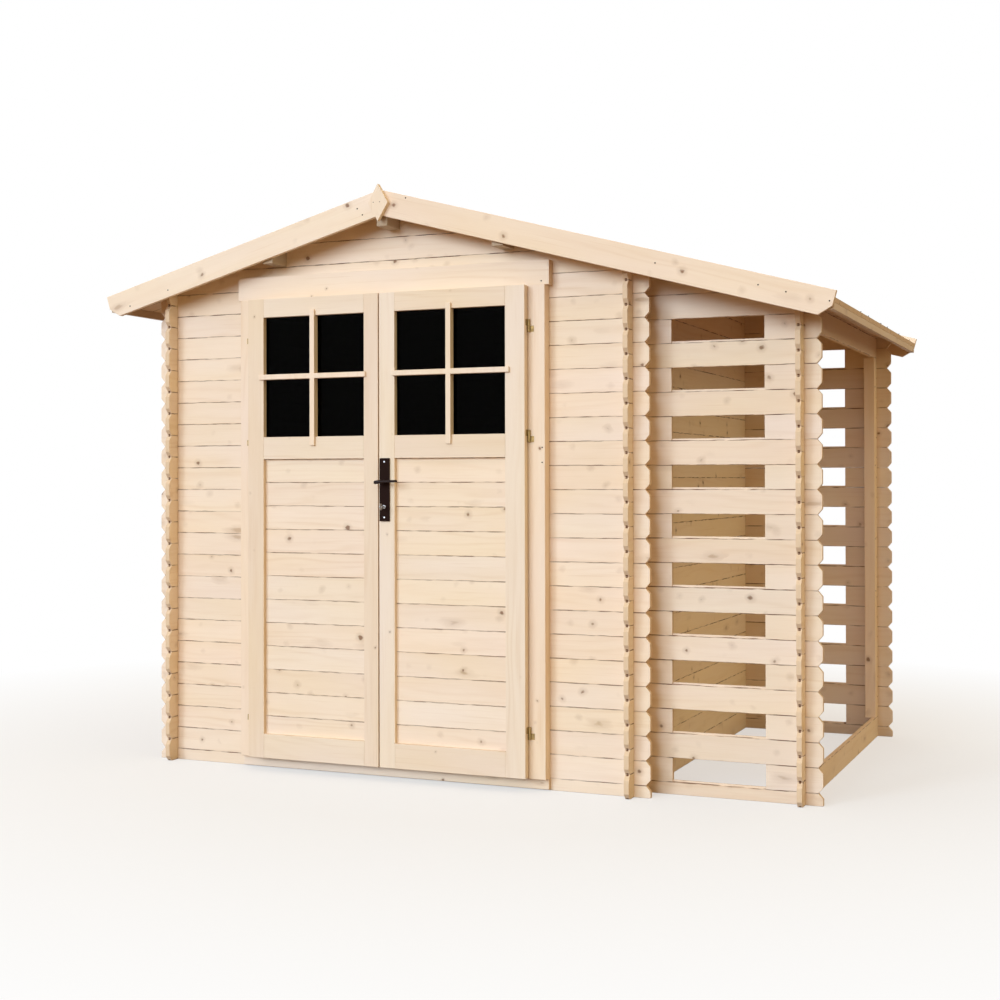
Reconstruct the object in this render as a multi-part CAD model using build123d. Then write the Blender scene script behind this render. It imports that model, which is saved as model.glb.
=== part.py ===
from build123d import *
import math
import os

# A garden shed of interlocking logs with a log store under the same roof.
# The plan is drawn with X to the right along the front wall, Y to the back and Z up.
# Its zero is where the outer face of the front wall meets the middle of the partition wall.

# Logs
course = 89.0            # height of one log
thick = 19.0             # thickness of a log
seam = 0.4               # open joint between two logs of one wall
fit = 0.3                # clearance round a piece that another one receives
log_run = 62.0           # length of a log past the wall that it crosses
nose = 17.0              # length of the chamfer on a log's end
nose_height = 20.0       # height of the same chamfer
tongue_height = 8.0      # tongue that shows on top of a slat
tongue_thick = 7.0

# Plan
shed_width = 1957.0      # left wall to partition, between their middles
store_width = 595.0      # partition to the right side of the log store
wall_depth = 1740.0      # front wall to back wall, between their middles
store_setback = 108.0    # front of the log store behind the front wall
left_block = 113.5       # log store block beside the partition, from the partition's face
right_block = 130.0      # log store block, from its end to the middle of the corner
stub_tail = 14.0         # length of a corner stub past the wall that it crosses
jamb_width = 45.0        # post that closes the ends of the corner stubs
jamb_depth = 50.0

# Roof
ridge_z = 2230.0         # top of the roof boards at the ridge
ridge_shift = 30.5       # ridge to the right of the shed's middle
slope = 15.4             # degrees
left_eave_reach = 250.0  # roof boards past the middle of the left wall
right_eave_reach = 166.0 # and past the open side of the log store
deck_thick = 16.0        # roof boards
deck_width = 90.0        # width of a roof board
overhang = 131.0         # outer face of a bargeboard from the face of the wall
barge_rise = 24.0        # top of a bargeboard above the roof boards
barge_width = 94.0
barge_thick = 19.0
barge_end = 54.0         # straight part of a bargeboard's end, above its clipped corner
finial_thick = 19.0
finial_top = 20.0        # height of the finial above the bargeboards
finial_side = 53.0       # its wide corners below their peak
finial_foot = 122.0      # its lower point below their peak
finial_width = 84.0
eave_strip_height = 25.0
eave_strip_thick = 19.0
purlin_width = 45.0
purlin_height = 70.0
ridge_purlin_height = 95.0

# Door set
left_of_door = 342.0     # front wall from the middle of the left wall to the door set
right_of_door = 312.5    # and from the door set to the middle of the partition
post_width = 74.0
left_post_face = 56.0    # front of a door post that shows beside its leaf
right_post_face = 66.0
frame_proud = 48.0       # front of the door posts from the face of the wall
frame_back = 10.0        # back cheek of a door post, behind the logs
groove = 15.0            # depth of the groove that takes the log ends
groove_play = 1.0        # log ends to the bottom of that groove
lintel_overhang = 14.5
lintel_proud = 40.0
lintel_drop = 360.0      # underside of the lintel below the ridge
lintel_height = 92.0
sill_overhang = 2.5
sill_proud = 20.0
sill_lift = 5.0          # underside of the door sill above the ground
head_height = 36.0       # door head behind the leaves
leaf_gap = 5.0           # running gap behind, below and between the leaves
lintel_gap = 2.0         # between the lintel and the leaves
leaf_thick = 30.0
meeting_shift = 10.0     # meeting gap to the left of the middle of the leaves
left_outer_stile = 71.0
left_meeting_stile = 61.0
right_meeting_stile = 65.5
right_outer_stile = 77.5
top_rail = 73.0
middle_rail = 87.0
bottom_rail = 95.0
light_height = 475.0     # glazed opening of a leaf
panel_board = 92.5       # height of a board in the lower panel
panel_thick = 9.0
panel_inset = 17.0       # face of the panel behind the face of the leaf
panel_lap = 7.0          # depth of the panel in its groove
glass_thick = 4.0
glass_inset = 22.0
glass_lap = 7.0
bar_width = 20.0         # glazing bar
bar_proud = 9.0
bar_above = 22.0         # length of an upright glazing bar past the top of its opening
bar_below = 35.0         # and past the bottom
bar_outside = 18.0       # length of a level bar past its opening, on the outer stile
bar_inside = 9.0         # and on the meeting stile

# Hinges, three to a leaf
low_hinge = 164.0        # above the foot of the leaf
middle_hinge = 9.0       # below the top of the middle rail
top_hinge = 149.0        # below the top of the leaf
knuckle_height = 46.0
knuckle_radius = 5.5
hinge_plate = 18.0
hinge_thick = 1.6

# Lever handle
plate_width = 41.0
plate_height = 241.0
plate_thick = 7.0
plate_drop = 120.5       # middle of the plate below the middle rail
plate_edge = 5.0         # plate from the leaf's meeting edge
lever_rise = 30.5        # lever above the middle of the plate
key_drop = 65.5          # lock below the middle of the plate
neck_radius = 8.0
neck_length = 40.0
grip_radius = 7.0
grip_left = 24.0         # short of the left leaf, which can then open by itself
grip_right = 71.0
barrel_radius = 8.0      # lock
barrel_length = 4.0
key_shank = 14.0
key_height = 8.0
key_bow = 12.0           # radius of the key's bow
key_thick = 2.5

# Floor
floor_thick = 18.0
floor_board = 96.0
floor_edge = 0.3         # floor to the walls
bearer_width = 45.0
bearer_count = 5

# Worked out from the driving dimensions
left_x = -shed_width
right_x = store_width
front_y = thick / 2
back_y = front_y + wall_depth
store_y = store_setback + thick / 2
ridge_x = ridge_shift - shed_width / 2
left_eave = left_x - left_eave_reach
right_eave = right_x + right_eave_reach
left_purlin = (left_x + ridge_x) / 2
right_purlin = ridge_x / 2
rise = math.tan(math.radians(slope))
deck_drop = deck_thick / math.cos(math.radians(slope))
deck_set_in = barge_rise * math.cos(math.radians(slope)) * math.sin(math.radians(slope))
left_deck_edge = left_eave + deck_set_in
right_deck_edge = right_eave - deck_set_in
barge_front = -overhang
barge_back = back_y + thick / 2 + overhang
deck_front = barge_front + barge_thick
deck_back = barge_back - barge_thick
origin_x = (left_eave + right_eave) / 2
origin_y = (barge_front + barge_back) / 2
notch_half = thick / 2 + fit
door_left = left_x + left_of_door
door_right = -right_of_door
leaves_left = door_left + left_post_face
leaves_right = door_right - right_post_face
meeting_x = (leaves_left + leaves_right) / 2 - meeting_shift
lintel_bottom = ridge_z - lintel_drop
leaf_top = lintel_bottom - lintel_gap
leaf_bottom = course / 2 + leaf_gap
middle_rail_top = leaf_top - top_rail - light_height
hinge_heights = (leaf_bottom + low_hinge, middle_rail_top - middle_hinge, leaf_top - top_hinge)
plate_z = middle_rail_top - middle_rail - plate_drop


def roof_top(x):
    return ridge_z - rise * abs(x - ridge_x)


def roof_under(x):
    return roof_top(x) - deck_drop


def barge_top(x):
    return roof_top(x) + barge_rise


def last_side_course(x):
    """The last course of a side wall, which goes up to the roof and is at least half a log high."""
    return math.floor(roof_under(x) / course - 0.5)


door_course = math.floor((lintel_bottom - fit) / course - 0.5)
header_course = last_side_course(right_x)
cut_course = header_course + 1  # first log that the roof cuts at the log store's side


# Helpers

def save(name, solids):
    """Write one node, moved so that the model stands centred on its origin."""
    moved = [Pos(-origin_x, -origin_y, 0) * solid for solid in solids]
    shape = moved[0] if len(moved) == 1 else Compound(children=moved)
    export_step(shape, f"parts/{name}.step")


def block(x0, x1, y0, y1, z0, z1):
    """A straight block between two corners."""
    return Pos((x0 + x1) / 2, (y0 + y1) / 2, (z0 + z1) / 2) * Box(x1 - x0, y1 - y0, z1 - z0)


def slab_y(points, y0, y1):
    """Extrude an outline of (x, z) points from y0 to y1."""
    face = make_face(Polyline(*[(x, y0, z) for x, z in points], close=True))
    return extrude(face, amount=y1 - y0, dir=(0, 1, 0))


def slab_x(points, x0, x1):
    """Extrude an outline of (y, z) points from x0 to x1."""
    face = make_face(Polyline(*[(x0, y, z) for y, z in points], close=True))
    return extrude(face, amount=x1 - x0, dir=(1, 0, 0))


def slab_z(points, z0, z1):
    """Extrude an outline of (x, y) points from z0 to z1."""
    face = make_face(Polyline(*[(x, y, z0) for x, y in points], close=True))
    return extrude(face, amount=z1 - z0, dir=(0, 0, 1))


def notches(crossings, start, edge, ceiling):
    """Points along one edge of a log, with a notch at each crossing."""
    points = [] if any(cross - notch_half < start for cross in crossings) else [(start, edge)]
    for cross in crossings:
        left = max(start, cross - notch_half)
        if left > start:
            points.append((left, edge))
        points += [(left, ceiling), (cross + notch_half, ceiling), (cross + notch_half, edge)]
    return points


def log_outline(start, end, bottom, top, crossings=(), noses=(False, False), reach=0.0):
    """Outline of one log in the plane of its wall. Its lower half is notched over the logs that cross it."""
    half_log = top < course
    low = 0.0 if bottom == 0 else bottom + seam / 2
    high = top - seam / 2 + reach
    first = start + nose if noses[0] else start
    last = end - nose if noses[1] else end
    outline = [(first, low)] if half_log else notches(crossings, first, low, bottom + course / 2 + seam / 2)
    outline.append((last, low))
    if noses[1]:
        outline.append((end, low) if half_log else (end, low + nose_height))
        outline.append((end, high - nose_height))
    outline.append((last, high))
    if reach:
        outline += reversed(notches(crossings, first, high, top - seam / 2))
    else:
        outline.append((first, high))
    if noses[0]:
        outline.append((start, high - nose_height))
        outline.append((start, low) if half_log else (start, low + nose_height))
    return outline


def cross_course(k):
    """Bottom and top of a course that starts with a half log."""
    return max(0.0, (k - 0.5) * course), (k + 0.5) * course


def side_course(m):
    """Bottom and top of a course that starts with a full log."""
    return m * course, (m + 1) * course


under_roof = slab_y(
    [
        (left_eave, -course),
        (right_eave, -course),
        (right_eave, roof_under(right_eave) - fit),
        (ridge_x, roof_under(ridge_x) - fit),
        (left_eave, roof_under(left_eave) - fit),
    ],
    deck_front,
    deck_back,
)


def solids_of(shape):
    return list(shape.solids())


# Roof timbers

def purlin(middle, height, clear=0.0):
    """A purlin from bargeboard to bargeboard, bevelled to the roof boards."""
    half = purlin_width / 2 + clear
    bottom = roof_under(middle) - height - clear
    bar = block(middle - half, middle + half, deck_front, deck_back, bottom, ridge_z)
    return bar & under_roof if clear == 0 else bar


purlins = ((ridge_x, ridge_purlin_height), (left_purlin, purlin_height), (right_purlin, purlin_height))
purlin_pockets = [purlin(middle, height, fit) for middle, height in purlins]


def fit_to_roof(log, pockets=()):
    """Cut a log to the slope of the roof and round the purlins that pass through it."""
    cut = log & under_roof
    for pocket in pockets:
        cut = cut - pocket
    return solids_of(cut)


def deck(edge):
    """Roof boards of one slope, laid side by side from the front to the back."""
    side = 1 if edge > ridge_x else -1
    lean = deck_thick * math.sin(math.radians(slope))
    drop = deck_thick * math.cos(math.radians(slope))
    crown = ridge_x + side * seam / 2
    outline = [
        (crown, roof_top(crown)),
        (edge, roof_top(edge)),
        (edge - side * lean, roof_top(edge) - drop),
        (crown, roof_under(crown)),
    ]
    count = round((deck_back - deck_front) / deck_width)
    pitch = (deck_back - deck_front) / count
    boards = []
    for number in range(count):
        start = deck_front + number * pitch
        boards.append(slab_y(outline, start + seam / 2, start + pitch - seam / 2))
    return boards


def bargeboard(eave, y0):
    """A bargeboard with a square end whose lower corner is clipped."""
    side = 1 if eave > ridge_x else -1
    crown = ridge_x + side * seam / 2
    along = Vector(-side, 0, rise).normalized()
    down = Vector(-side * math.sin(math.radians(slope)), 0, -math.cos(math.radians(slope)))
    tip = Vector(eave, 0, barge_top(eave))
    clip = barge_width - barge_end
    corner = tip + down * barge_end
    lower = tip + down * barge_width + along * clip
    foot = barge_top(crown) - barge_width / math.cos(math.radians(slope))
    ends = [(tip.X, tip.Z), (corner.X, corner.Z), (lower.X, lower.Z)]
    outline = [(crown, barge_top(crown)), *ends, (crown, foot)]
    return slab_y(outline, y0, y0 + barge_thick)


def finial(y0):
    """The kite-shaped board over the joint of two bargeboards."""
    side = finial_width / 2
    peak = barge_top(ridge_x)
    outline = [
        (ridge_x, peak + finial_top),
        (ridge_x + side, peak - finial_side),
        (ridge_x, peak - finial_foot),
        (ridge_x - side, peak - finial_side),
    ]
    return slab_y(outline, y0, y0 + finial_thick)


def eave_strip(edge):
    """The strip under the edge of the roof boards, in two lengths."""
    side = 1 if edge > ridge_x else -1
    outer = edge - side * deck_thick * math.sin(math.radians(slope))
    inner = outer - side * eave_strip_thick
    bottom = roof_under(outer) - eave_strip_height
    outline = [
        (outer, bottom),
        (outer, roof_under(outer) - fit),
        (inner, roof_under(inner) - fit),
        (inner, bottom),
    ]
    middle = (deck_front + deck_back) / 2
    return [
        slab_y(outline, deck_front + fit, middle - seam / 2),
        slab_y(outline, middle + seam / 2, deck_back - fit),
    ]


# Walls

def cross_log(k, y0, start, end, crossings, noses):
    """One log of a front or back wall, cut to the roof where it reaches that high."""
    bottom, top = cross_course(k)
    under = [x for x in crossings if roof_under(x) > bottom]
    log = slab_y(log_outline(start, end, bottom, top, under, noses), y0, y0 + thick)
    if top < min(roof_under(start), roof_under(end)) - purlin_height:
        return [log]
    return fit_to_roof(log, purlin_pockets)


def gable_logs(first, y0, start, end, crossings, noses):
    """The courses from the first one up to the roof."""
    peak = roof_under(min(max(ridge_x, start), end))
    logs = []
    k = first
    while cross_course(k)[0] + seam < peak:
        logs += cross_log(k, y0, start, end, crossings, noses)
        k += 1
    return logs


def side_logs(x, start, end, crossings):
    """A side wall from the ground to the roof, its last log bevelled."""
    last_course = last_side_course(x)
    logs = []
    for m in range(last_course):
        bottom, top = side_course(m)
        outline = log_outline(start, end, bottom, top, crossings, (True, True))
        logs.append(slab_x(outline, x - thick / 2, x + thick / 2))
    return logs + top_side_log(last_course, x, start, end, crossings)


def top_side_log(m, x, start, end, crossings):
    bottom, top = side_course(m)
    outline = log_outline(start, end, bottom, top, crossings, (True, True), course)
    return fit_to_roof(slab_x(outline, x - thick / 2, x + thick / 2))


def with_tongue(log, x0, x1, y0, top):
    """Add the tongue that shows on a slat between two blocks."""
    middle = y0 + thick / 2
    near, far = middle - tongue_thick / 2, middle + tongue_thick / 2
    return log + block(x0 + seam, x1 - seam, near, far, top - tongue_height, top + tongue_height)


wall_left = left_x - thick / 2 - log_run
wall_right = thick / 2 + log_run
store_right = right_x + thick / 2 + log_run
side_front = -log_run
side_back = back_y + thick / 2 + log_run
store_front = store_setback - log_run
gap_left = thick / 2 + left_block
gap_right = right_x - right_block
beside_door = range(1, door_course + 1)
log_seat = groove - groove_play


def front_wall():
    """The front wall of the shed, beside, below and above the doorway."""
    left = []
    right = []
    for k in beside_door:
        left += cross_log(k, 0, wall_left, door_left + log_seat, (left_x,), (True, False))
        right += cross_log(k, 0, door_right - log_seat, wall_right, (0.0,), (False, True))
    save("front_wall_left", left)
    save("front_wall_right", right)
    whole = (0, wall_left, wall_right, (left_x, 0.0), (True, True))
    save("front_ground_log", cross_log(0, *whole))
    save("front_gable", gable_logs(door_course + 1, *whole))


def slat(k, y0, start, crossings, noses):
    """A log up to the log store's right corner, with a tongue where a gap follows above it."""
    log = cross_log(k, y0, start, store_right, crossings, noses)
    if k + 1 == cut_course:
        return log
    return [with_tongue(log[0], gap_left, gap_right, y0, cross_course(k)[1] - seam / 2)]


def right_blocks(y0):
    """The blocks between the slats at the log store's right corner."""
    blocks = []
    for k in range(1, cut_course, 2):
        blocks += cross_log(k, y0, gap_right, store_right, (right_x,), (False, True))
    return blocks


def back_wall():
    """One wall along the shed and the log store, slatted behind the log store."""
    y0 = back_y - thick / 2
    crossings = (left_x, 0.0, right_x)
    logs = []
    for k in range(cut_course):
        if k % 2:
            logs += cross_log(k, y0, wall_left, gap_left, (left_x, 0.0), (True, False))
        else:
            logs += slat(k, y0, wall_left, crossings, (True, True))
    save("back_wall", logs)
    save("log_store_back_blocks", right_blocks(y0))
    save("back_gable", gable_logs(cut_course, y0, wall_left, store_right, crossings, (True, True)))


def store_front_wall():
    """The slatted front of the log store, its logs notched into the partition."""
    y0 = store_setback
    start = -thick / 2
    crossings = (0.0, right_x)
    slats = []
    blocks = right_blocks(y0)
    for k in range(cut_course):
        if k % 2:
            blocks += cross_log(k, y0, start, gap_left, (0.0,), (False, False))
        else:
            slats += slat(k, y0, start, crossings, (False, True))
    save("log_store_slats", slats)
    save("log_store_blocks", blocks)
    save("log_store_gable", gable_logs(cut_course, y0, start, store_right, crossings, (False, True)))


def side_walls():
    save("left_wall", side_logs(left_x, side_front, side_back, (front_y, back_y)))
    save("partition_wall", side_logs(0.0, side_front, side_back, (front_y, store_y, back_y)))


def store_side():
    """The open right side: sill, header, corner stubs and the posts that close them."""
    inner, outer = right_x - thick / 2, right_x + thick / 2
    bottom, top = side_course(0)
    sill = log_outline(store_front, side_back, bottom, top, (store_y, back_y), (True, True))
    save("log_store_sill", [slab_x(sill, inner, outer)])
    header = top_side_log(header_course, right_x, store_front, side_back, (store_y, back_y))
    save("log_store_header", header)
    front_tail = store_y + thick / 2 + stub_tail
    back_tail = back_y - thick / 2 - stub_tail
    front_stubs = []
    back_stubs = []
    for m in range(1, header_course):
        bottom, top = side_course(m)
        outline = log_outline(store_front, front_tail, bottom, top, (store_y,), (True, False))
        front_stubs.append(slab_x(outline, inner, outer))
        outline = log_outline(back_tail, side_back, bottom, top, (back_y,), (False, True))
        back_stubs.append(slab_x(outline, inner, outer))
    save("front_corner_stubs", front_stubs)
    save("back_corner_stubs", back_stubs)
    posts = []
    for y0 in (front_tail + fit, back_tail - fit - jamb_depth):
        posts.append(block(outer - jamb_width, outer, y0, y0 + jamb_depth, course, header_course * course))
    save("log_store_jambs", posts)


def roof():
    save("ridge_purlin", solids_of(purlin(ridge_x, ridge_purlin_height)))
    side_purlins = [purlin(middle, purlin_height) for middle in (left_purlin, right_purlin)]
    save("side_purlins", [solid for bar in side_purlins for solid in solids_of(bar)])
    save("left_roof_boards", deck(left_deck_edge))
    save("right_roof_boards", deck(right_deck_edge))
    back = barge_back - barge_thick
    save("front_left_bargeboard", [bargeboard(left_eave, barge_front)])
    save("front_right_bargeboard", [bargeboard(right_eave, barge_front)])
    save("back_left_bargeboard", [bargeboard(left_eave, back)])
    save("back_right_bargeboard", [bargeboard(right_eave, back)])
    save("front_finial", [finial(barge_front - finial_thick)])
    save("back_finial", [finial(barge_back)])
    save("left_eave_strips", eave_strip(left_deck_edge))
    save("right_eave_strips", eave_strip(right_deck_edge))


# Floor of the shed

def shed_floor():
    x0 = left_x + thick / 2 + floor_edge
    x1 = -thick / 2 - floor_edge
    y0 = thick + frame_back + floor_edge
    y1 = back_y - thick / 2 - floor_edge
    top = course / 2
    count = round((y1 - y0) / floor_board)
    pitch = (y1 - y0) / count
    boards = []
    for number in range(count):
        start = y0 + number * pitch
        boards.append(block(x0, x1, start + seam / 2, start + pitch - seam / 2, top - floor_thick, top))
    save("floor_boards", boards)
    step = (x1 - x0 - bearer_width) / (bearer_count - 1)
    joists = []
    for number in range(bearer_count):
        left = x0 + number * step
        joists.append(block(left, left + bearer_width, y0, y1, 0, top - floor_thick))
    save("floor_bearers", joists)


# Door set

post_foot = course / 2 + fit
post_head = lintel_bottom - fit
rough_head = cross_course(door_course)[1]
leaf_back = -frame_proud - leaf_gap
leaf_front = leaf_back - leaf_thick


def door_post(side):
    """A grooved post that takes the log ends, with its front running up to the lintel."""
    outer = door_right if side > 0 else door_left
    inner = outer - side * post_width
    cheek = thick + fit
    section = [
        (inner, -frame_proud),
        (outer, -frame_proud),
        (outer, -fit),
        (outer - side * groove, -fit),
        (outer - side * groove, cheek),
        (outer, cheek),
        (outer, thick + frame_back),
        (inner, thick + frame_back),
    ]
    body = slab_z(section, post_foot, rough_head - seam)
    front = block(min(inner, outer), max(inner, outer), -frame_proud, -fit, post_foot, post_head)
    return body + front


def door_frame():
    save("left_door_post", [door_post(-1)])
    save("right_door_post", [door_post(1)])
    section = [
        (-frame_proud, rough_head - head_height),
        (thick + frame_back, rough_head - head_height),
        (thick + frame_back, rough_head - seam),
        (-fit, rough_head - seam),
        (-fit, post_head),
        (-frame_proud, post_head),
    ]
    clear = post_width + fit
    save("door_head", [slab_x(section, door_left + clear, door_right - clear)])
    save("door_lintel", [block(door_left - lintel_overhang, door_right + lintel_overhang, -lintel_proud, -fit,
                               lintel_bottom, lintel_bottom + lintel_height)])
    save("door_sill", [block(door_left - sill_overhang, door_right + sill_overhang, -sill_proud, -fit,
                             sill_lift, course / 2)])


def leaf_edges(side):
    """Left and right edge of a leaf, which is the left one where the side is negative."""
    if side < 0:
        return leaves_left, meeting_x - leaf_gap / 2
    return meeting_x + leaf_gap / 2, leaves_right


def hung_edge(side):
    """The edge of a leaf that carries its hinges."""
    return leaf_edges(side)[0 if side < 0 else 1]


def leaf(side, name):
    x0, x1 = leaf_edges(side)
    light_x0 = x0 + (left_outer_stile if side < 0 else right_meeting_stile)
    light_x1 = x1 - (left_meeting_stile if side < 0 else right_outer_stile)
    light_z0, light_z1 = middle_rail_top, leaf_top - top_rail
    panel_z0, panel_z1 = leaf_bottom + bottom_rail, middle_rail_top - middle_rail
    frame = block(x0, x1, leaf_front, leaf_back, leaf_bottom, leaf_top)
    frame -= block(light_x0, light_x1, leaf_front, leaf_back, light_z0, light_z1)
    frame -= block(light_x0, light_x1, leaf_front, leaf_back, panel_z0, panel_z1)
    panel_y0 = leaf_front + panel_inset
    panel_y1 = panel_y0 + panel_thick
    frame -= block(light_x0 - panel_lap - fit, light_x1 + panel_lap + fit, panel_y0 - fit, panel_y1 + fit,
                   panel_z0 - panel_lap - fit, panel_z1 + panel_lap + fit)
    glass_y0 = leaf_front + glass_inset
    glass_y1 = glass_y0 + glass_thick
    frame -= block(light_x0 - glass_lap - fit, light_x1 + glass_lap + fit, glass_y0 - fit, glass_y1 + fit,
                   light_z0 - glass_lap - fit, light_z1 + glass_lap + fit)
    save(f"{name}_leaf_frame", solids_of(frame))
    low = panel_z0 - panel_lap
    tops = [panel_z1 + panel_lap]
    while tops[-1] - panel_board - panel_lap > low:
        tops.append(panel_z1 - len(tops) * panel_board)
    boards = []
    for high, next_top in zip(tops, [*tops[1:], low]):
        boards.append(block(light_x0 - panel_lap, light_x1 + panel_lap, panel_y0, panel_y1,
                            next_top + seam / 2, high - seam / 2))
    save(f"{name}_leaf_panel", boards)
    save(f"{name}_leaf_glass", [block(light_x0 - glass_lap, light_x1 + glass_lap, glass_y0, glass_y1,
                                      light_z0 - glass_lap, light_z1 + glass_lap)])
    runs = (bar_outside, bar_inside) if side < 0 else (bar_inside, bar_outside)
    save(f"{name}_glazing_bars", [glazing_cross(light_x0, light_x1, light_z0, light_z1, glass_y0, runs)])


def glazing_cross(x0, x1, z0, z1, glass_y0, runs):
    """Crossed glazing bars that lap on the face of the leaf and run back to the glass."""
    middle_x = (x0 + x1) / 2
    middle_z = (z0 + z1) / 2
    half = bar_width / 2
    face0 = leaf_front - bar_proud
    lap = leaf_front - fit
    upright = block(middle_x - half, middle_x + half, face0, lap, z0 - bar_below, z1 + bar_above)
    level = block(x0 - runs[0], x1 + runs[1], face0, lap, middle_z - half, middle_z + half)
    core_upright = block(middle_x - half, middle_x + half, face0, glass_y0 - fit, z0 + fit, z1 - fit)
    core_level = block(x0 + fit, x1 - fit, face0, glass_y0 - fit, middle_z - half, middle_z + half)
    return upright + level + core_upright + core_level


def hinge_axis(side):
    return hung_edge(side) + side * (knuckle_radius + fit), -frame_proud - fit - knuckle_radius


def hinges(side, name):
    """Butt hinges: the upper knuckle turns with the leaf above the lower one."""
    axis_x, axis_y = hinge_axis(side)
    half = knuckle_height / 2
    moving = []
    fixed = []
    for z in hinge_heights:
        lower = Pos(axis_x, axis_y, z - half / 2 - seam) * Cylinder(knuckle_radius, half)
        plate_y = -frame_proud - fit
        plate = block(min(axis_x, axis_x + side * hinge_plate), max(axis_x, axis_x + side * hinge_plate),
                      plate_y - hinge_thick, plate_y, z - half, z - seam)
        fixed.append(lower + plate)
        upper = Pos(axis_x, axis_y, z + half / 2) * Cylinder(knuckle_radius, half)
        edge = hung_edge(side) + side * fit
        wing = block(min(edge, edge + side * hinge_thick), max(edge, edge + side * hinge_thick),
                     axis_y - hinge_plate, axis_y, z, z + half)
        moving.append(upper + wing)
    save(f"{name}_leaf_hinges", moving)
    save(f"{name}_frame_hinges", fixed)


def rod(x, y0, y1, z, radius):
    """A round bar that runs straight back from y0 to y1."""
    return Pos(x, (y0 + y1) / 2, z) * Rot(90, 0, 0) * Cylinder(radius, y1 - y0)


def handle():
    """Lever handle on a long plate, with a key in the lock."""
    plate_x = leaf_edges(1)[0] + plate_edge
    middle = plate_x + plate_width / 2
    back = leaf_front - fit
    face = back - plate_thick
    half = plate_height / 2
    save("handle_plate", [block(plate_x, plate_x + plate_width, face, back, plate_z - half, plate_z + half)])
    lever_z = plate_z + lever_rise
    grip_y = face - fit - neck_length
    grip_x = middle + (grip_right - grip_left) / 2
    grip = Pos(grip_x, grip_y, lever_z) * Rot(0, 90, 0) * Cylinder(grip_radius, grip_left + grip_right)
    save("lever_handle", [grip + rod(middle, grip_y, face - fit, lever_z, neck_radius)])
    key_z = plate_z - key_drop
    lock_face = face - fit - barrel_length
    bow_y = lock_face - key_shank - key_bow
    shank = block(middle - key_thick / 2, middle + key_thick / 2, bow_y, lock_face,
                  key_z - key_height / 2, key_z + key_height / 2)
    bow = Pos(middle, bow_y, key_z) * Rot(0, 90, 0) * Cylinder(key_bow, key_thick)
    save("lock_and_key", [rod(middle, lock_face, face - fit, key_z, barrel_radius) + shank + bow])


os.makedirs("parts", exist_ok=True)
front_wall()
back_wall()
store_front_wall()
side_walls()
store_side()
roof()
shed_floor()
door_frame()
for leaf_side, leaf_name in ((-1, "left"), (1, "right")):
    leaf(leaf_side, leaf_name)
    hinges(leaf_side, leaf_name)
handle()
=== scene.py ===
import math
import random

import bmesh
import bpy
from mathutils import Matrix, Vector


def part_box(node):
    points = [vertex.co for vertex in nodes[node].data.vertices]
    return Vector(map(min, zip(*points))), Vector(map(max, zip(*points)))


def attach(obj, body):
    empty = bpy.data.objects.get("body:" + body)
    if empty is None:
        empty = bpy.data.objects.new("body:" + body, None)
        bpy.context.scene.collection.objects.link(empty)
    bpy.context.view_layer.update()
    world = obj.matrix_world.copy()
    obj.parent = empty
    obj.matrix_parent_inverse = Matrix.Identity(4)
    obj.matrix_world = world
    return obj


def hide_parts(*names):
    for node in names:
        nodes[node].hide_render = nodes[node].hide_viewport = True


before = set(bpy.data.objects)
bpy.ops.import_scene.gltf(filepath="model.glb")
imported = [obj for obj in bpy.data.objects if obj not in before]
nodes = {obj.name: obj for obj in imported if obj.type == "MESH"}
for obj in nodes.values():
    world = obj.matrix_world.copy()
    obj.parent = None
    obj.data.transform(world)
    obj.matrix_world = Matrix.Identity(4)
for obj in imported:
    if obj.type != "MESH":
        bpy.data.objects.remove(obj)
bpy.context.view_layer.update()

# Log shed with log store: bare pine, dark glass and a black lever handle. All lengths are in metres.
MM = 0.001

# Camera, fitted to the photograph
CAMERA_PLACE = (2.4281, -6.3353, 1.1464)
CAMERA_YAW = 24.239
CAMERA_PITCH = 0.448
CAMERA_ROLL = -0.113
SENSOR = 36.0
PICTURE = 1000.0
FOCAL_PIXELS = 1565.15
CENTRE_PIXEL = (441.52, 468.43)

# Timber sizes that the looks depend on
COURSE = 0.089
ROOF_SLOPE = math.radians(15.4)
ROOF_BOARDS = 22
FLOOR_BOARD = 0.096
PANEL_BOARD = 92.5 * MM
PANEL_LAP = 7 * MM
LEAF_LAP = 7 * MM
LEAF_JOINT = 0.15 * MM
HALF_PURLIN = 22.5 * MM
LEFT_WALL_X = -1.234
PARTITION_X = 0.723
STORE_SIDE_X = 1.318

# Eased edges
LOG_EASE = 1.1 * MM
BOARD_EASE = 0.8 * MM
TRIM_EASE = 1.2 * MM
LEAF_EASE = 1.0 * MM
PLATE_EASE = 1.6 * MM
KEY_EASE = 0.4 * MM
WELD_GAP = 0.05 * MM
EASED_ANGLE = math.radians(35)
SMOOTH_ANGLE = math.radians(35)
FLAT_ANGLE = math.radians(30)

# Colours of the timber, linear
LIGHT_WOOD = (0.87, 0.69, 0.505)
DARK_WOOD = (0.74, 0.52, 0.32)
END_WOOD = (0.78, 0.58, 0.38)
END_RING = (0.64, 0.43, 0.24)
KNOT = (0.22, 0.11, 0.055)
SOFT_KNOT = (0.50, 0.33, 0.20)
# Dark joints between the boards, and the painted shade in the groove mouths at the log ends
SEAM = (0.11, 0.030, 0.004)


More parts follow.
